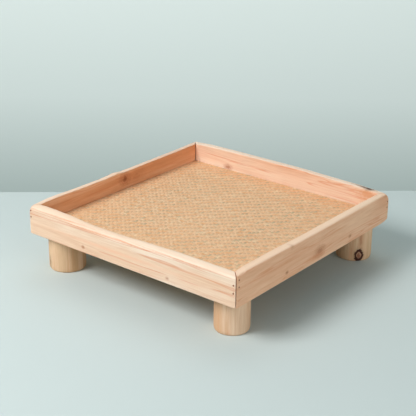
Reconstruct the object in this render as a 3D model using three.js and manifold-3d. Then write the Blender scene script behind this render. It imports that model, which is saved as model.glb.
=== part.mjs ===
// Square footed tray: four mitred and nailed rails hold a thin board in a groove,
// a woven mat lies on the board, and four log feet are screwed on from above.
// Millimetres, +Z up. The tray stands on z = 0, centred on the z axis.
import * as THREE from 'three';
import { mergeVertices } from 'three/addons/utils/BufferGeometryUtils.js';
import Module from 'manifold-3d';

const wasm = await Module();
wasm.setup();

// Frame
const side = 400;
const railBottom = 57.4;
const railHeight = 47.9;
const railThickness = 13.5;
const bottomChamfer = 1;
const innerRound = 2;
const cornerRound = 3.4;
const mitreGap = 1.1;
const railSteps = 24;
const cornerSteps = 3;

// Floor
const boardThickness = 5;
const grooveDepth = 5;
const grooveFit = 0.3;
const matThickness = 2.4;
const matSurfaceDepth = 31.1;
const matFit = 0.5;
const seatGap = 0.3;

// Feet, each a little different, with their centres set in from the rails' outer faces
const feet = {
  left: { radius: 28.6, insetX: 40.9, insetY: 39.1 },
  front: { radius: 25.8, insetX: 37.9, insetY: 42.1 },
  right: { radius: 28, insetX: 37.5, insetY: 38.1 },
  back: { radius: 27.3, insetX: 38.6, insetY: 38.6 },
};
const footEdge = { inward: 2.4, upward: 6 };
const footFit = 0.4;
const footSegments = 48;

// Nails, with heights above the rails' lower edge, at each rail's left and right end seen from outside
const nailHeadRadius = 1.2;
const nailHeadThickness = 0.7;
const nailShankRadius = 0.7;
const nailLength = 25;
const nailFit = 0.3;
const nailSegments = 10;
const endNails = { inset: 5, left: { lower: 27.9, upper: 38.2 }, right: { lower: 22.1, upper: 33.8 } };
const sideNails = { inset: 6.2, left: { lower: 30.6, upper: 41 }, right: { lower: 24, upper: 34 } };

// Screws
const screwHeadRadius = 4;
const screwHeadDepth = 2.6;
const screwShankRadius = 2;
const screwLength = 30;
const screwFit = 0.3;
const screwSink = 0.2;
const screwRim = 0.2;
const screwSegments = 16;

const half = side / 2;
const matTop = railBottom + railHeight - matSurfaceDepth;
const boardTop = matTop - matThickness - seatGap;
const boardBottom = boardTop - boardThickness;
const footHeight = boardBottom - seatGap;

const plankWood = { color: 0xf0cfa8, roughness: 0.62, metalness: 0 };
const shadedWood = { color: 0xd9ae82, roughness: 0.65, metalness: 0 };
const boardWood = { color: 0xc99f72, roughness: 0.7, metalness: 0 };
const bamboo = { color: 0xd8ad84, roughness: 0.55, metalness: 0 };
const logWood = { color: 0xcba682, roughness: 0.7, metalness: 0 };
const iron = { color: 0x3a2c24, roughness: 0.5, metalness: 0.8 };

// Each rail's hand-planed top: how wide its rounded outer shoulder is, then stations along it from
// -1 to 1 (seen from outside, left to right) with the crest's rise above the nominal height, the
// fall of the outer edge below the crest, any lift of the worn outer lower edge, and any spread
// of the shoulder's width.
const railTops = {
  front: {
    shoulder: 9,
    stations: [[-1, -1, 12], [-0.97, -0.9, 8], [-0.9, -0.4, 6], [-0.7, -1.2, 5.5], [-0.4, -4.4, 6],
      [-0.1, -4.2, 6], [0.25, -1.5, 6], [0.5, 0, 6], [1, 0, 5.5]],
  },
  right: {
    shoulder: 4,
    stations: [[-1, 0, 6], [-0.88, 1.6, 2.2], [-0.5, 1.4, 2], [-0.2, 0, 2.4], [0.7, 0, 3.2],
      [0.94, -0.8, 6], [0.97, -1, 8.5, 0.5, 1], [1, -1.5, 14, 6, 5]],
  },
  back: {
    shoulder: 5,
    stations: [[-1, -1.5, 14, 6, 4], [-0.97, -1.3, 8, 0.5, 1], [-0.85, -0.8, 5], [-0.7, 0.6, 4],
      [-0.1, 2.6, 3.2], [0.5, 2.4, 3.2], [0.8, 1.8, 3.4], [1, -0.4, 6]],
  },
  left: {
    shoulder: 9,
    stations: [[-1, -0.4, 6], [-0.7, -1.2, 6.5], [0, -1.6, 6.5], [0.1, 0.6, 5], [0.2, -1.2, 6.5],
      [0.5, -1, 6], [0.8, 0, 4.5], [0.96, -0.8, 7.5], [1, -1, 12]],
  },
};

// Smoothly blended rise and fall at one place along a rail.
function topAt(stations, s) {
  let next = 1;
  while (next < stations.length - 1 && s > stations[next][0]) {
    next += 1;
  }
  const [s0, rise0, fall0, lift0 = 0, spread0 = 0] = stations[next - 1];
  const [s1, rise1, fall1, lift1 = 0, spread1 = 0] = stations[next];
  const t = THREE.MathUtils.smoothstep(s, s0, s1);
  return {
    rise: THREE.MathUtils.lerp(rise0, rise1, t),
    fall: THREE.MathUtils.lerp(fall0, fall1, t),
    lift: THREE.MathUtils.lerp(lift0, lift1, t),
    spread: THREE.MathUtils.lerp(spread0, spread1, t),
  };
}

// Rail section in (depth from the outer face, height) order, anticlockwise from the lower edge.
// Ease is how far the outer face stands back there, for the rounded corners.
function railSection({ rise, fall, lift, spread }, shoulder, ease) {
  const top = railBottom + railHeight + rise;
  const shoulderSteps = 5;
  const innerSteps = 2;
  const points = [
    [railThickness - bottomChamfer, railBottom],
    [railThickness, railBottom + bottomChamfer],
    [railThickness, boardBottom - grooveFit],
    [railThickness - grooveDepth, boardBottom - grooveFit],
    [railThickness - grooveDepth, boardTop + grooveFit],
    [railThickness, boardTop + grooveFit],
  ];
  for (let i = 0; i <= innerSteps; i += 1) {
    const a = (Math.PI / 2) * (i / innerSteps);
    points.push([railThickness - innerRound * (1 - Math.cos(a)), top - innerRound * (1 - Math.sin(a))]);
  }
  for (let i = 0; i <= shoulderSteps; i += 1) {
    const a = (Math.PI / 2) * (i / shoulderSteps);
    points.push([ease + (shoulder + spread - ease) * (1 - Math.sin(a)), top - fall * (1 - Math.cos(a))]);
  }
  points.push([ease, railBottom + bottomChamfer + lift], [ease + bottomChamfer + lift / 2, railBottom]);
  return points;
}

// Places along a rail, as a share of its half length at any depth, with the outer face's ease there.
function railPlaces() {
  const places = [];
  const straight = (half - cornerRound) / half;
  for (let step = 0; step <= railSteps; step += 1) {
    places.push({ s: straight * ((2 * step) / railSteps - 1), ease: 0 });
  }
  for (let step = 1; step <= cornerSteps; step += 1) {
    const turn = (Math.PI / 4) * (step / cornerSteps);
    const ease = cornerRound * (1 - Math.cos(turn));
    const s = (half - cornerRound + cornerRound * Math.sin(turn)) / (half - ease);
    places.push({ s, ease });
    places.unshift({ s: -s, ease });
  }
  return places;
}

// A rail along X with its outer face on y = -half, its ends cut to the mitre.
function railGeometry({ shoulder, stations }) {
  const positions = [];
  const indices = [];
  const places = railPlaces();
  const last = places.length - 1;
  let count = 0;
  for (const { s, ease } of places) {
    const section = railSection(topAt(stations, s), shoulder, ease);
    count = section.length;
    for (const [depth, height] of section) {
      const reach = half - depth - mitreGap * Math.SQRT1_2;
      positions.push(s * reach, depth - half, height);
    }
  }
  for (let step = 0; step < last; step += 1) {
    for (let i = 0; i < count; i += 1) {
      const a = step * count + i;
      const b = step * count + ((i + 1) % count);
      indices.push(a, b, a + count, b, b + count, a + count);
    }
  }
  for (const [step, flip] of [[0, false], [last, true]]) {
    const first = step * count;
    const contour = [];
    for (let i = 0; i < count; i += 1) {
      contour.push(new THREE.Vector2(positions[3 * (first + i) + 1], positions[3 * (first + i) + 2]));
    }
    for (const [a, b, c] of THREE.ShapeUtils.triangulateShape(contour, [])) {
      indices.push(first + a, first + (flip ? b : c), first + (flip ? c : b));
    }
  }
  const geometry = new THREE.BufferGeometry();
  geometry.setAttribute('position', new THREE.Float32BufferAttribute(positions, 3));
  geometry.setIndex(indices);
  return geometry;
}

function solidOf(geometry) {
  const bare = geometry.clone();
  bare.deleteAttribute('normal');
  bare.deleteAttribute('uv');
  const merged = mergeVertices(bare, 1e-5);
  return new wasm.Manifold(new wasm.Mesh({
    numProp: 3,
    vertProperties: new Float32Array(merged.attributes.position.array),
    triVerts: new Uint32Array(merged.index.array),
  }));
}

function geometryOf(solid) {
  const mesh = solid.getMesh();
  const geometry = new THREE.BufferGeometry();
  geometry.setAttribute('position', new THREE.BufferAttribute(mesh.vertProperties, 3));
  geometry.setIndex(new THREE.BufferAttribute(mesh.triVerts, 1));
  return geometry;
}

function cut(geometry, tools) {
  let solid = solidOf(geometry);
  for (const tool of tools) {
    solid = solid.subtract(solidOf(tool));
  }
  return geometryOf(solid);
}

// A turned solid about the z axis from (radius, height) points, first and last on the axis.
function turned(profile, segments) {
  return new THREE.LatheGeometry(profile.map(([r, z]) => new THREE.Vector2(r, z)), segments)
    .rotateX(Math.PI / 2);
}

// A flat plate with its lower face at the given height.
function plate(width, thickness, bottom) {
  return new THREE.BoxGeometry(width, width, thickness).translate(0, 0, bottom + thickness / 2);
}

// A nail pointing down -Z with its head's face at z = 0, or its hole when grown by a fit.
function nailGeometry(fit) {
  return turned([
    [0, -nailLength - fit],
    [nailShankRadius + fit, -nailLength + nailShankRadius - fit],
    [nailShankRadius + fit, -nailHeadThickness - fit],
    [nailHeadRadius + fit, -nailHeadThickness - fit],
    [nailHeadRadius + fit, fit],
    [0, fit],
  ], nailSegments);
}

// A countersunk screw pointing down -Z with its head's face at z = 0, or its hole.
function screwGeometry(fit) {
  return turned([
    [0, -screwLength - fit],
    [screwShankRadius + fit, -screwLength + 2 * screwShankRadius - fit],
    [screwShankRadius + fit, -screwHeadDepth - fit],
    [screwHeadRadius + fit, -fit],
    [screwHeadRadius + fit, fit + screwSink],
    [0, fit + screwSink],
  ], screwSegments);
}

// The solid screw's head ends flush, without the hole's extra height.
function screwBody() {
  return turned([
    [0, -screwLength],
    [screwShankRadius, -screwLength + 2 * screwShankRadius],
    [screwShankRadius, -screwHeadDepth],
    [screwHeadRadius, -screwRim],
    [screwHeadRadius, 0],
    [0, 0],
  ], screwSegments);
}

const railTurns = { front: 0, right: 1, back: 2, left: 3 };
const frontBack = ['front', 'back'];

// Places of the nails driven square through each rail near both of its ends.
function nailPlaces() {
  const places = [];
  for (const [rail, quarter] of Object.entries(railTurns)) {
    const set = frontBack.includes(rail) ? endNails : sideNails;
    for (const [end, sign] of [['left', -1], ['right', 1]]) {
      for (const [level, height] of Object.entries(set[end])) {
        const along = sign * (half - set.inset);
        const matrix = new THREE.Matrix4().makeRotationZ(quarter * Math.PI / 2)
          .multiply(new THREE.Matrix4().makeTranslation(along, -half, railBottom + height))
          .multiply(new THREE.Matrix4().makeRotationX(Math.PI / 2));
        places.push({ name: `nail_${rail}_${end}_${level}`, matrix });
      }
    }
  }
  return places;
}

const corners = { left: [-1, -1], front: [1, -1], right: [1, 1], back: [-1, 1] };

// A foot's centre on the plan.
function footPlace(corner) {
  const [signX, signY] = corners[corner];
  return [signX * (half - feet[corner].insetX), signY * (half - feet[corner].insetY)];
}

// The worn lower edge of a foot, from the cut end up to the side.
function footEdgeArc(radius) {
  const steps = 4;
  const points = [];
  for (let i = 0; i <= steps; i += 1) {
    const a = (Math.PI / 2) * (i / steps);
    points.push([radius - footEdge.inward * (1 - Math.sin(a)), footEdge.upward * (1 - Math.cos(a))]);
  }
  return points;
}

// Blocks that cut a foot's top back to its shoulders, where the two rails bear on it.
function shoulderCuts(x, y, radius) {
  const inner = half - railThickness - footFit;
  const block = railThickness + footHeight;
  const level = railBottom - seatGap + block / 2;
  const place = inner + block / 2;
  const width = 2 * radius + block;
  return [
    new THREE.BoxGeometry(block, width, block).translate(Math.sign(x) * place, y, level),
    new THREE.BoxGeometry(width, block, block).translate(x, Math.sign(y) * place, level),
  ];
}

const group = new THREE.Group();
group.name = 'footed_tray';

function add(name, geometry, look) {
  const mesh = new THREE.Mesh(geometry, new THREE.MeshStandardMaterial(look));
  mesh.name = name;
  group.add(mesh);
  return mesh;
}

// Rails, bored for every nail that passes through or into them
const nails = nailPlaces();
const nailHoles = nails.map(({ matrix }) => nailGeometry(nailFit).applyMatrix4(matrix));
for (const [rail, quarter] of Object.entries(railTurns)) {
  const blank = railGeometry(railTops[rail]).rotateZ(quarter * Math.PI / 2);
  add(`${rail}_rail`, cut(blank, nailHoles), frontBack.includes(rail) ? plankWood : shadedWood);
}

// Nails
for (const { name, matrix } of nails) {
  add(name, nailGeometry(0).applyMatrix4(matrix), iron);
}

// Board in the rails' groove, and the mat on it
const boardWidth = 2 * (half - railThickness + grooveDepth - grooveFit);
const matWidth = 2 * (half - railThickness - matFit);
const screwTop = boardTop - screwSink;
const screwHoles = Object.keys(corners)
  .map((corner) => screwGeometry(screwFit).translate(...footPlace(corner), screwTop));
add('base_board', cut(plate(boardWidth, boardThickness, boardBottom), screwHoles), boardWood);
add('woven_mat', plate(matWidth, matThickness, boardTop + seatGap), bamboo);

// Feet and their screws
for (const [corner, { radius }] of Object.entries(feet)) {
  const [x, y] = footPlace(corner);
  const outline = [[0, 0], ...footEdgeArc(radius), [radius, footHeight], [0, footHeight]];
  const log = turned(outline, footSegments).translate(x, y, 0);
  add(`${corner}_foot`, cut(log, [...screwHoles, ...shoulderCuts(x, y, radius)]), logWood);
  add(`${corner}_foot_screw`, screwBody().translate(x, y, screwTop), iron);
}

export default group;
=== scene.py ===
"""Looks of a square footed tray: planed pale rails, a woven bamboo floor and peeled log feet."""
import math

import bpy
from mathutils import Matrix, Vector, noise


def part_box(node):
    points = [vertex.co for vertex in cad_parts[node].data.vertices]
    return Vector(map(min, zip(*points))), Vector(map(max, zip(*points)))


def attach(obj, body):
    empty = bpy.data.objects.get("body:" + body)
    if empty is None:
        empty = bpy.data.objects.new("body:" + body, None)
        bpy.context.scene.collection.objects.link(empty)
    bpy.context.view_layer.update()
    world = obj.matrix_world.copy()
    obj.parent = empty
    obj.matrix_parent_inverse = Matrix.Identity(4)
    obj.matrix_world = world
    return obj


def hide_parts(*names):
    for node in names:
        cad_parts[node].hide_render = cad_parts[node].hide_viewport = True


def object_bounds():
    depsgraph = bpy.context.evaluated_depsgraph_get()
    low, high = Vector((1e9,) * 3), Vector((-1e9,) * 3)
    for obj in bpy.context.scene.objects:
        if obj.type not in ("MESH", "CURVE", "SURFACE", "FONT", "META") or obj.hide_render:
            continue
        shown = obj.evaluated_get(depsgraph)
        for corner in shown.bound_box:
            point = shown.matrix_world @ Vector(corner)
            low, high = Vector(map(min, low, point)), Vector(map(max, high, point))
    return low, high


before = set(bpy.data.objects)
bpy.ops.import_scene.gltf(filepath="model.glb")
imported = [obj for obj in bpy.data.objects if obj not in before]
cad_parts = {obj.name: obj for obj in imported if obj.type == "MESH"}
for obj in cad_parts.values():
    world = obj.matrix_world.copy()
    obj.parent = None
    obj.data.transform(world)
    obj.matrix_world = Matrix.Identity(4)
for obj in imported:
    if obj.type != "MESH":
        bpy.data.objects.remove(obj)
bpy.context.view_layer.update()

MM = 0.001

# Camera, in half sides of the tray, from the photograph's corners
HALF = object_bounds()[1][0]
RAIL_TOP = 105.3 * MM
FOCAL_PX = 1067.3
PHOTO_PX = 416
PITCH = 0.3864
AZIMUTH = 0.6731
ROLL = 0.0092
DISTANCE = 8.4836
SHIFT_RIGHT = -0.0328
SHIFT_UP = 0.4091

# The table's far edge and the wall behind it, from the tray's centre along the view, in metres
TABLE_EDGE = 0.2988
TABLE_SLANT = 0.0356
TABLE_GAP = 0.1 * MM
WALL_AWAY = 1.6
WALL_LOW_SEEN = -0.50
WALL_HIGH_SEEN = 0.10

# Weave
STRIP_PITCH = 4.4 * MM
STRIP_WIDTH = 4.25 * MM
STRIP_THICK = 0.5 * MM
STRIP_RISE = 0.3 * MM
UNDER_OVER = 2

# Colours, linear
# Each rail has its own colours: the right and left rails, whose seen faces lie in shade, are warmer and darker than the
# lit front and back rails. This is painted shade and light.
FRONT_PALE = (0.985, 0.80, 0.65, 1)
FRONT_WARM = (0.93, 0.66, 0.48, 1)
# Painted light: a paler tone for the front rail's upturned faces.
FRONT_TOP_LIGHT = (0.915, 0.71, 0.55, 1)
RIGHT_PALE = (0.96, 0.60, 0.39, 1)
RIGHT_WARM = (0.87, 0.46, 0.27, 1)
# Painted light: a paler tone for the right rail's upturned faces.
RIGHT_TOP_LIGHT = (0.99, 0.80, 0.63, 1)
BACK_PALE = (0.985, 0.78, 0.63, 1)
BACK_WARM = (0.91, 0.59, 0.42, 1)
LEFT_PALE = (0.98, 0.59, 0.36, 1)
LEFT_WARM = (0.83, 0.39, 0.19, 1)
LOG_PALE = (0.86, 0.60, 0.39, 1)
LOG_WARM = (0.66, 0.41, 0.22, 1)
STREAK = (0.74, 0.27, 0.12, 1)
KNOT = (0.42, 0.11, 0.03, 1)
# Painted light: a paler tone for the upturned faces of the back and left rails.
TOP_LIGHT_TONE = (0.96, 0.80, 0.66, 1)
BARK = (0.06, 0.014, 0.006, 1)
HEART = (0.27, 0.07, 0.03, 1)
# Painted light: the front foot's paler colours stand in for the fill light on its shaded side.
NEAR_LOG_PALE = (0.95, 0.74, 0.56, 1)
NEAR_LOG_WARM = (0.76, 0.47, 0.28, 1)
# How far the painted light on upturned rail faces goes towards its paler tone.
TOP_LIGHT_SHARE = 0.6
FLOOR_COLOUR = (0.62, 0.705, 0.708, 1)
# The wall's colours and glow are painted light: darker towards its foot, and glowing for the camera alone.
WALL_TOP_COLOUR = (0.66, 0.755, 0.735, 1)
WALL_FOOT_COLOUR = (0.46, 0.55, 0.535, 1)
WALL_GLOW = (0.275, 0.302, 0.295, 1)
WALL_FOOT_GLOW = (0.145, 0.17, 0.163, 1)


# How much stain a knot shows from its heart to its rim
SOLID_KNOT = [(0.0, 1.0), (0.28, 0.9), (0.38, 0.40), (0.48, 0.65), (0.60, 0.25), (0.70, 0.40), (0.86, 0.10), (1.0, 0.0)]
HOLLOW_KNOT = [(0.0, 0.1), (0.32, 0.1), (0.42, 1.0), (0.64, 1.0), (0.74, 0.15), (1.0, 0.0)]


def node_material(name):
    """A material with its shader, and a helper that adds nodes and sets their values."""
    material = bpy.data.materials.new(name)
    material.use_nodes = True
    tree = material.node_tree
    shader = tree.nodes["Principled BSDF"]

    def add(kind, **values):
        node = tree.nodes.new(kind)
        for key, value in values.items():
            if hasattr(node, key) and key not in node.inputs:
                setattr(node, key, value)
            else:
                node.inputs[key].default_value = value
        return node

    return material, tree, shader, add


def ramp(add, stops):
    """A colour ramp with the given (position, colour) stops."""
    node = add("ShaderNodeValToRGB")
    elements = node.color_ramp.elements
    elements[0].position, elements[0].color = stops[0]
    elements[1].position, elements[1].color = stops[-1]
    for position, colour in stops[1:-1]:
        element = elements.new(position)
        element.color = colour
    return node


def blend_colours(tree, add, kind, factor, first, second):
    """Mixes two colour sockets by a factor socket or number."""
    mix = add("ShaderNodeMix", data_type="RGBA", blend_type=kind)
    if isinstance(factor, float):
        mix.inputs[0].default_value = factor
    else:
        tree.links.new(factor, mix.inputs[0])
    tree.links.new(first, mix.inputs[6])
    tree.links.new(second, mix.inputs[7])
    return mix.outputs[2]


def grain_vector(tree, add, coords, along, shift, squeeze):
    """Object coordinates drawn out along the grain."""
    mapping = add("ShaderNodeMapping")
    scale = {"X": (squeeze, 1, 1), "Y": (1, squeeze, 1), "Z": (1, 1, squeeze)}[along]
    mapping.inputs["Scale"].default_value = scale
    mapping.inputs["Location"].default_value = shift
    tree.links.new(coords.outputs["Object"], mapping.inputs["Vector"])
    return mapping.outputs["Vector"]


def wood(name, along, pale, warm, roughness=0.55, shift=(0, 0, 0), knots=(), streaks=0.6, top_light=None):
    """Planed wood with its grain along one axis: 'X', 'Y' or 'Z'."""
    material, tree, shader, add = node_material(name)
    coords = add("ShaderNodeTexCoord")
    long_grain = grain_vector(tree, add, coords, along, shift, 0.045)
    short_grain = grain_vector(tree, add, coords, along, shift, 0.12)

    cloud = add("ShaderNodeTexNoise", Scale=26.0, Detail=3.0, Roughness=0.55, Distortion=0.8)
    tree.links.new(short_grain, cloud.inputs["Vector"])
    rings = add("ShaderNodeTexNoise", Scale=170.0, Detail=4.0, Roughness=0.6, Distortion=1.2)
    fibre = add("ShaderNodeTexNoise", Scale=900.0, Detail=3.0, Roughness=0.65)
    lines = add("ShaderNodeTexNoise", Scale=95.0, Detail=2.0, Roughness=0.5, Distortion=0.5)
    for node in (rings, fibre, lines):
        tree.links.new(long_grain, node.inputs["Vector"])

    base = ramp(add, [(0.36, warm), (0.60, pale)])
    tree.links.new(cloud.outputs["Fac"], base.inputs["Fac"])
    soft = ramp(add, [(0.34, (0.84, 0.70, 0.60, 1)), (0.56, (1, 1, 1, 1))])
    tree.links.new(rings.outputs["Fac"], soft.inputs["Fac"])
    colour = blend_colours(tree, add, "MULTIPLY", 0.5, base.outputs["Color"], soft.outputs["Color"])
    fine = ramp(add, [(0.32, (0.84, 0.76, 0.70, 1)), (0.60, (1, 1, 1, 1))])
    tree.links.new(fibre.outputs["Fac"], fine.inputs["Fac"])
    colour = blend_colours(tree, add, "MULTIPLY", 0.45, colour, fine.outputs["Color"])

    narrow = ramp(add, [(0.0, (0, 0, 0, 1)), (0.575, (0, 0, 0, 1)), (0.60, (streaks,) * 3 + (1,)),
                        (0.635, (0, 0, 0, 1)), (1.0, (0, 0, 0, 1))])
    tree.links.new(lines.outputs["Fac"], narrow.inputs["Fac"])
    streak = add("ShaderNodeRGB")
    streak.outputs[0].default_value = STREAK
    colour = blend_colours(tree, add, "MIX", narrow.outputs["Color"], colour, streak.outputs[0])

    # Painted light: faces turned up are mixed towards a paler tone.
    if top_light:
        colour = painted_top_light(tree, add, colour, top_light)
    for knot in knots:
        colour = add_knot(tree, add, coords, colour, **knot)

    tree.links.new(colour, shader.inputs["Base Color"])
    shader.inputs["Roughness"].default_value = roughness
    shader.inputs["Specular IOR Level"].default_value = 0.3
    bump = add("ShaderNodeBump", Strength=0.3, Distance=0.0005)
    tree.links.new(rings.outputs["Fac"], bump.inputs["Height"])
    tree.links.new(bump.outputs["Normal"], shader.inputs["Normal"])
    return material


def painted_top_light(tree, add, colour, top_light):
    """Painted light: where a rail faces up, its colour is mixed towards a paler tone that stands in for the light from
    above.
    """
    surface = add("ShaderNodeNewGeometry")
    axes = add("ShaderNodeSeparateXYZ")
    tree.links.new(surface.outputs["Normal"], axes.inputs[0])
    facing = add("ShaderNodeMapRange")
    facing.inputs["From Min"].default_value = 0.55
    facing.inputs["From Max"].default_value = 0.9
    facing.inputs["To Max"].default_value = TOP_LIGHT_SHARE
    tree.links.new(axes.outputs["Z"], facing.inputs["Value"])
    top_light_tint = add("ShaderNodeRGB")
    top_light_tint.outputs[0].default_value = top_light
    return blend_colours(tree, add, "MIX", facing.outputs["Result"], colour, top_light_tint.outputs[0])


def add_knot(tree, add, coords, colour, place, size, stain=KNOT, hollow=False, strength=0.85):
    """A knot: wavering rings of stain round a place. Size is its half extent along x, y and z."""
    offset = add("ShaderNodeVectorMath", operation="SUBTRACT")
    offset.inputs[1].default_value = place
    tree.links.new(coords.outputs["Object"], offset.inputs[0])
    scale = add("ShaderNodeVectorMath", operation="DIVIDE")
    scale.inputs[1].default_value = size
    tree.links.new(offset.outputs[0], scale.inputs[0])
    length = add("ShaderNodeVectorMath", operation="LENGTH")
    tree.links.new(scale.outputs[0], length.inputs[0])
    waver = add("ShaderNodeTexNoise", Scale=210.0, Detail=3.0, Roughness=0.6)
    tree.links.new(coords.outputs["Object"], waver.inputs["Vector"])
    push = add("ShaderNodeMath", operation="MULTIPLY_ADD")
    push.inputs[1].default_value = 0.9
    tree.links.new(waver.outputs["Fac"], push.inputs[0])
    tree.links.new(length.outputs["Value"], push.inputs[2])
    reach = add("ShaderNodeMapRange")
    reach.inputs["From Min"].default_value = 0.45
    reach.inputs["From Max"].default_value = 1.95
    tree.links.new(push.outputs[0], reach.inputs["Value"])
    rings = HOLLOW_KNOT if hollow else SOLID_KNOT
    mask = ramp(add, [(reach_share, (share * strength,) * 3 + (1,)) for reach_share, share in rings])
    tree.links.new(reach.outputs["Result"], mask.inputs["Fac"])
    tint = add("ShaderNodeRGB")
    tint.outputs[0].default_value = stain
    return blend_colours(tree, add, "MIX", mask.outputs["Color"], colour, tint.outputs[0])


def bamboo(name, tones, roughness=0.5):
    """Split bamboo: a tone for each strip, and fine fibre along the strip's own run."""
    material, tree, shader, add = node_material(name)
    attribute = add("ShaderNodeAttribute", attribute_name="strip_tone")
    tone = ramp(add, tones)
    tree.links.new(attribute.outputs["Fac"], tone.inputs["Fac"])
    run = add("ShaderNodeAttribute", attribute_name="strip_run")
    stretch = add("ShaderNodeVectorMath", operation="MULTIPLY")
    stretch.inputs[1].default_value = (120.0, 2600.0, 900.0)
    tree.links.new(run.outputs["Vector"], stretch.inputs[0])
    fibre = add("ShaderNodeTexNoise", Scale=1.0, Detail=3.0, Roughness=0.65)
    tree.links.new(stretch.outputs[0], fibre.inputs["Vector"])
    lines = ramp(add, [(0.36, (0.62, 0.52, 0.44, 1)), (0.58, (1, 1, 1, 1))])
    tree.links.new(fibre.outputs["Fac"], lines.inputs["Fac"])
    colour = blend_colours(tree, add, "MULTIPLY", 0.7, tone.outputs["Color"], lines.outputs["Color"])
    tree.links.new(colour, shader.inputs["Base Color"])
    shader.inputs["Roughness"].default_value = roughness
    shader.inputs["Specular IOR Level"].default_value = 0.4
    return material


def plain(name, colour, roughness, metallic=0.0):
    """One colour with a faint uneven tone."""
    material, tree, shader, add = node_material(name)
    coords = add("ShaderNodeTexCoord")
    mottle = add("ShaderNodeTexNoise", Scale=420.0, Detail=3.0)
    tree.links.new(coords.outputs["Object"], mottle.inputs["Vector"])
    shade = ramp(add, [(0.3, tuple(0.8 * c for c in colour[:3]) + (1,)), (0.7, colour)])
    tree.links.new(mottle.outputs["Fac"], shade.inputs["Fac"])
    tree.links.new(shade.outputs["Color"], shader.inputs["Base Color"])
    shader.inputs["Roughness"].default_value = roughness
    shader.inputs["Metallic"].default_value = metallic
    return material


def dress(node, material):
    """Gives a CAD node that keeps its shape a new material."""
    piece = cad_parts[node]
    piece.data.materials.clear()
    piece.data.materials.append(material)


def mesh_object(name, vertices, faces, material, smooth=False):
    mesh = bpy.data.meshes.new(name)
    mesh.from_pydata(vertices, [], faces)
    mesh.update()
    mesh.materials.append(material)
    if smooth:
        mesh.shade_smooth()
    piece = bpy.data.objects.new(name, mesh)
    bpy.context.scene.collection.objects.link(piece)
    return piece


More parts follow.
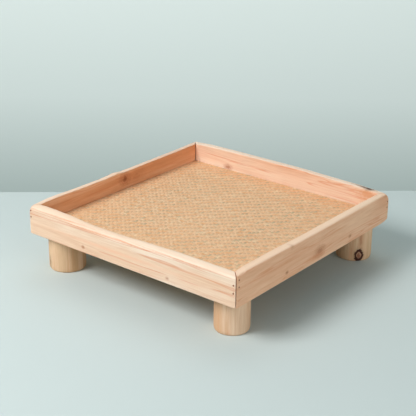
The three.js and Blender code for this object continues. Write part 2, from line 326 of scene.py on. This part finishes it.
def wood_materials():
    """Every plank and log has its own grain, and the knots seen in the photograph."""
    half = HALF
    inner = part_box("front_rail")[1][1]
    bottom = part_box("front_rail")[0][2]

    def knot(x, y, z, size, **look):
        return {"place": (x, y, z), "size": size, **look}

    front = wood("front_rail_wood", "X", FRONT_PALE, FRONT_WARM, shift=(0.3, 0.1, 0.7), top_light=FRONT_TOP_LIGHT, knots=[
        knot(-0.084, -half, bottom + 0.0092, (0.0030, 0.003, 0.0026)),
        knot(0.0795, -half, bottom + 0.0085, (0.0030, 0.003, 0.0022), strength=0.7),
        knot(0.110, -half + 0.001, bottom + 0.0430, (0.0700, 0.003, 0.0010), stain=STREAK, strength=0.75),
        knot(0.020, -half + 0.001, bottom + 0.0400, (0.0800, 0.003, 0.0009), stain=STREAK, strength=0.7),
        knot(-0.100, -half + 0.001, bottom + 0.0390, (0.0850, 0.003, 0.0010), stain=STREAK, strength=0.75),
        knot(-0.120, -half + 0.001, bottom + 0.0425, (0.0750, 0.003, 0.0008), stain=STREAK, strength=0.6),
        knot(-0.020, -half, bottom + 0.0200, (0.1100, 0.003, 0.0030), stain=(0.95, 0.50, 0.30, 1), strength=0.45),
    ])
    right = wood("right_rail_wood", "Y", RIGHT_PALE, RIGHT_WARM, shift=(1.3, 0.2, 0.1), top_light=RIGHT_TOP_LIGHT, knots=[
        knot(half, 0.0013, bottom + 0.0152, (0.01, 0.0130, 0.0085), strength=0.6),
        knot(half, -0.0100, bottom + 0.0100, (0.004, 0.0220, 0.0045), stain=STREAK, strength=0.6),
        knot(half, -0.1200, bottom + 0.0280, (0.004, 0.0900, 0.0030), stain=STREAK, strength=0.4),
        knot(half, -0.0824, bottom + 0.0113, (0.004, 0.0034, 0.0024)),
        knot(half, 0.0842, bottom + 0.0112, (0.004, 0.0040, 0.0026), strength=0.7),
        knot(half, -0.071, bottom + 0.048, (0.008, 0.0040, 0.0040), strength=0.35),
    ])
    back = wood("back_rail_wood", "X", BACK_PALE, BACK_WARM, shift=(0.2, 0.9, 0.5), top_light=TOP_LIGHT_TONE, knots=[
        knot(-0.1132, -inner, bottom + 0.0207, (0.0085, 0.006, 0.0050), strength=0.7),
        knot(0.168, -inner, bottom + 0.0400, (0.0200, 0.006, 0.0130), stain=(0.70, 0.28, 0.09, 1), strength=0.6),
        knot(0.157, half - 0.0065, bottom + 0.0475, (0.0220, 0.0022, 0.006), stain=BARK, strength=0.9),
        knot(0.166, half - 0.0080, bottom + 0.0475, (0.0075, 0.0042, 0.006), stain=BARK, strength=1.0),
    ])
    left = wood("left_rail_wood", "Y", LEFT_PALE, LEFT_WARM, shift=(0.4, 1.9, 0.3), top_light=TOP_LIGHT_TONE, knots=[
        knot(inner, 0.0017, bottom + 0.0337, (0.006, 0.0120, 0.0100), strength=0.7),
        knot(inner, 0.0017, bottom + 0.0337, (0.006, 0.0045, 0.0040), stain=HEART, strength=0.9),
        knot(inner, 0.030, bottom + 0.0300, (0.006, 0.0200, 0.0100), strength=0.35),
    ])
    for node, material in (("front_rail", front), ("right_rail", right), ("back_rail", back), ("left_rail", left)):
        dress(node, material)
    dress("base_board", wood("base_board_wood", "X", (0.66, 0.42, 0.22, 1), (0.50, 0.29, 0.14, 1), 0.7))

    def on_foot(node, angle, height):
        low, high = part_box(node)
        radius = (high[0] - low[0]) / 2
        return (low[0] + radius + radius * math.cos(angle), low[1] + radius + radius * math.sin(angle), height)

    logs = {
        "left_foot": [knot(*on_foot("left_foot", -1.95, 0.012), (0.0022, 0.0022, 0.0110), stain=BARK, strength=0.6)],
        "front_foot": [],
        "back_foot": [],
        "right_foot": [
            knot(*on_foot("right_foot", -0.66, 0.036), (0.0040, 0.0040, 0.0190), strength=0.55),
            knot(*on_foot("right_foot", -0.73, 0.0095), (0.0060, 0.0060, 0.0090), stain=HEART, strength=0.9),
            knot(*on_foot("right_foot", -0.73, 0.0105), (0.0072, 0.0072, 0.0100), stain=BARK, hollow=True, strength=1.0),
        ],
    }
    for i, (node, knots) in enumerate(logs.items()):
        # The front foot gets paler colours than the other logs: painted light.
        pale, warm = (NEAR_LOG_PALE, NEAR_LOG_WARM) if node == "front_foot" else (LOG_PALE, LOG_WARM)
        dress(node, wood(node + "_wood", "Z", pale, warm, 0.65, shift=(0.7 * i, 0.3 * i, 0.5), knots=knots,
                         streaks=0.3))


def small_metal():
    iron = plain("nail_iron", (0.34, 0.08, 0.035, 1), 0.75)
    steel = plain("screw_steel", (0.45, 0.44, 0.42, 1), 0.4, 0.9)
    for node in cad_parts:
        if node.startswith("nail_"):
            dress(node, iron)
        elif node.endswith("_screw"):
            dress(node, steel)


def strip_height(along, across, weave_sign):
    """Height of a strip's middle over the weave's middle: it crosses two strips and dives under two."""
    phase = (along - across * 1.0) % (2 * UNDER_OVER)
    wave = math.sin(2 * math.pi * (phase + 0.5) / (2 * UNDER_OVER))
    return weave_sign * STRIP_RISE * max(-1.0, min(1.0, 1.6 * wave))


def woven_mat():
    """Two sets of bamboo strips in a stepped twill, as real bent strips within the mat's box."""
    low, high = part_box("woven_mat")
    width = high[0] - low[0]
    count = round(width / STRIP_PITCH)
    pitch = width / count
    middle = high[2] - STRIP_RISE - STRIP_THICK / 2 - 0.05 * MM
    pieces = []
    sets = {
        "mat_strips_along": (1.0, [(0.0, (0.92, 0.50, 0.24, 1)), (0.5, (0.98, 0.61, 0.35, 1)), (1.0, (0.99, 0.75, 0.50, 1))]),
        "mat_strips_across": (-1.0, [(0.0, (0.68, 0.50, 0.31, 1)), (0.5, (0.90, 0.58, 0.34, 1)), (1.0, (0.97, 0.67, 0.41, 1))]),
    }
    for name, (sign, tones) in sets.items():
        vertices, faces, tone_values, run_values = [], [], [], []
        for k in range(count):
            strip_tone = 0.5 + 0.35 * noise.noise(Vector((k * 0.83, sign * 7.0, 1.5)))
            centre = (k + 0.5) * pitch
            rows = 2 * count
            for row in range(rows + 1):
                along = row * pitch / 2
                lift = strip_height(row / 2 - 0.5, k, 1.0) if sign > 0 else strip_height(k, row / 2 - 0.5, -1.0)
                for side, crown in ((-0.5, -0.08), (0.0, 0.0), (0.5, -0.08)):
                    across = centre + side * STRIP_WIDTH
                    x, y = (along, across) if sign > 0 else (across, along)
                    vertices.append((low[0] + x, low[1] + y, middle + lift + STRIP_THICK / 2 + crown * MM))
                    tone_values.append(strip_tone + 0.75 * noise.noise(Vector((row * 0.31, k * 1.7, sign * 3.0))))
                    run_values.append((along, across, k * 0.37))
                if row < rows:
                    a = len(vertices) - 3
                    for step in (0, 1):
                        quad = (a + step, a + step + 3, a + step + 4, a + step + 1)
                        faces.append(quad if sign < 0 else quad[::-1])
        piece = mesh_object(name, vertices, faces, bamboo(name, tones), smooth=True)
        tones_layer = piece.data.attributes.new("strip_tone", "FLOAT", "POINT")
        tones_layer.data.foreach_set("value", tone_values)
        run_layer = piece.data.attributes.new("strip_run", "FLOAT_VECTOR", "POINT")
        run_layer.data.foreach_set("vector", [c for run in run_values for c in run])
        pieces.append(piece)
    # A dark sheet under the strips: painted shade, seen in the gaps between strips and along the mat's edges.
    shade_sheet_level = middle - STRIP_RISE - STRIP_THICK
    corners = [(low[0], low[1]), (high[0], low[1]), (high[0], high[1]), (low[0], high[1])]
    shade_sheet = mesh_object("mat_painted_shade", [(x, y, shade_sheet_level) for x, y in corners], [(0, 1, 2, 3)],
                          plain("mat_painted_shade", (0.30, 0.18, 0.09, 1), 0.8))
    pieces.append(shade_sheet)
    for piece in pieces:
        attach(piece, "root")
        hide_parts("woven_mat")


def studio():
    """Pale green-grey floor ending at the table's far edge, a wall behind it, soft key light from the left, fill from
    the right.
    """
    aim = Matrix.Rotation(AZIMUTH, 4, "Z")
    floor_corners = [aim @ Vector((x, y, -TABLE_GAP)) for x, y in (
        (-8, -6), (8, -6), (8, TABLE_EDGE + 8 * TABLE_SLANT), (-8, TABLE_EDGE - 8 * TABLE_SLANT))]
    floor = mesh_object("floor", [tuple(v) for v in floor_corners], [(0, 1, 2, 3)],
                        flat("floor_paper", FLOOR_COLOUR))
    wall_corners = [aim @ Vector((x, WALL_AWAY, z)) for x, z in ((-8, -4), (8, -4), (8, 6), (-8, 6))]
    wall = mesh_object("wall", [tuple(v) for v in wall_corners], [(0, 1, 2, 3)], wall_paper())

    area("key", aim @ Vector((-1.5, -0.9, 1.7)), 1.0, 44.0, (1.0, 0.985, 0.965))
    area("fill", aim @ Vector((1.7, -1.9, 0.62)), 1.3, 14.0, (1.0, 0.98, 0.95))
    area("back_top", aim @ Vector((0.2, 1.2, 2.0)), 1.6, 8.0, (1.0, 1.0, 1.0))
    world = bpy.data.worlds.new("studio")
    world.use_nodes = True
    world.node_tree.nodes["Background"].inputs["Color"].default_value = (0.86, 0.94, 0.93, 1)
    world.node_tree.nodes["Background"].inputs["Strength"].default_value = 0.30
    bpy.context.scene.world = world


def wall_paper():
    """The wall, with painted shade that darkens it towards its foot, and a painted glow that only the camera sees."""
    material, tree, shader, add = node_material("wall_paper")
    coords = add("ShaderNodeTexCoord")
    axes = add("ShaderNodeSeparateXYZ")
    tree.links.new(coords.outputs["Object"], axes.inputs[0])
    level = add("ShaderNodeMapRange")
    level.inputs["From Min"].default_value = WALL_LOW_SEEN
    level.inputs["From Max"].default_value = WALL_HIGH_SEEN
    tree.links.new(axes.outputs["Z"], level.inputs["Value"])
    shade = ramp(add, [(0.0, WALL_FOOT_COLOUR), (1.0, WALL_TOP_COLOUR)])
    tree.links.new(level.outputs["Result"], shade.inputs["Fac"])
    tree.links.new(shade.outputs["Color"], shader.inputs["Base Color"])
    shader.inputs["Roughness"].default_value = 0.9
    # Painted light: the wall glows, for camera rays only.
    glow = ramp(add, [(0.0, WALL_FOOT_GLOW), (0.5, WALL_GLOW), (1.0, WALL_GLOW)])
    tree.links.new(level.outputs["Result"], glow.inputs["Fac"])
    tree.links.new(glow.outputs["Color"], shader.inputs["Emission Color"])
    rays = add("ShaderNodeLightPath")
    tree.links.new(rays.outputs["Is Camera Ray"], shader.inputs["Emission Strength"])
    return material


def flat(name, colour):
    material, tree, shader, add = node_material(name)
    shader.inputs["Base Color"].default_value = colour
    shader.inputs["Roughness"].default_value = 0.9
    shader.inputs["Specular IOR Level"].default_value = 0.1
    return material


def area(name, place, size, power, colour):
    light = bpy.data.lights.new(name, "AREA")
    light.energy = power
    light.size = size
    light.color = colour
    lamp = bpy.data.objects.new(name, light)
    lamp.location = place
    lamp.rotation_euler = (Vector((0, 0, 0.05)) - Vector(place)).to_track_quat("-Z", "Y").to_euler()
    bpy.context.scene.collection.objects.link(lamp)


def camera():
    """The photograph's camera."""
    back = Vector((math.sin(AZIMUTH) * math.cos(PITCH), -math.cos(AZIMUTH) * math.cos(PITCH), math.sin(PITCH)))
    right = (-back).cross(Vector((0, 0, 1))).normalized()
    up = right.cross(-back)
    place = (back * DISTANCE + right * SHIFT_RIGHT + up * SHIFT_UP) * HALF
    rolled_right = right * math.cos(ROLL) + up * math.sin(ROLL)
    rolled_up = up * math.cos(ROLL) - right * math.sin(ROLL)
    data = bpy.data.cameras.new("photo_camera")
    data.sensor_width = 36.0
    data.lens = FOCAL_PX / PHOTO_PX * data.sensor_width
    shot = bpy.data.objects.new("photo_camera", data)
    turn = Matrix((rolled_right, rolled_up, back)).transposed().to_4x4()
    shot.matrix_world = Matrix.Translation(place) @ turn
    bpy.context.scene.collection.objects.link(shot)
    bpy.context.scene.camera = shot


wood_materials()
small_metal()
woven_mat()
studio()
camera()
bpy.context.scene.view_settings.view_transform = "Standard"
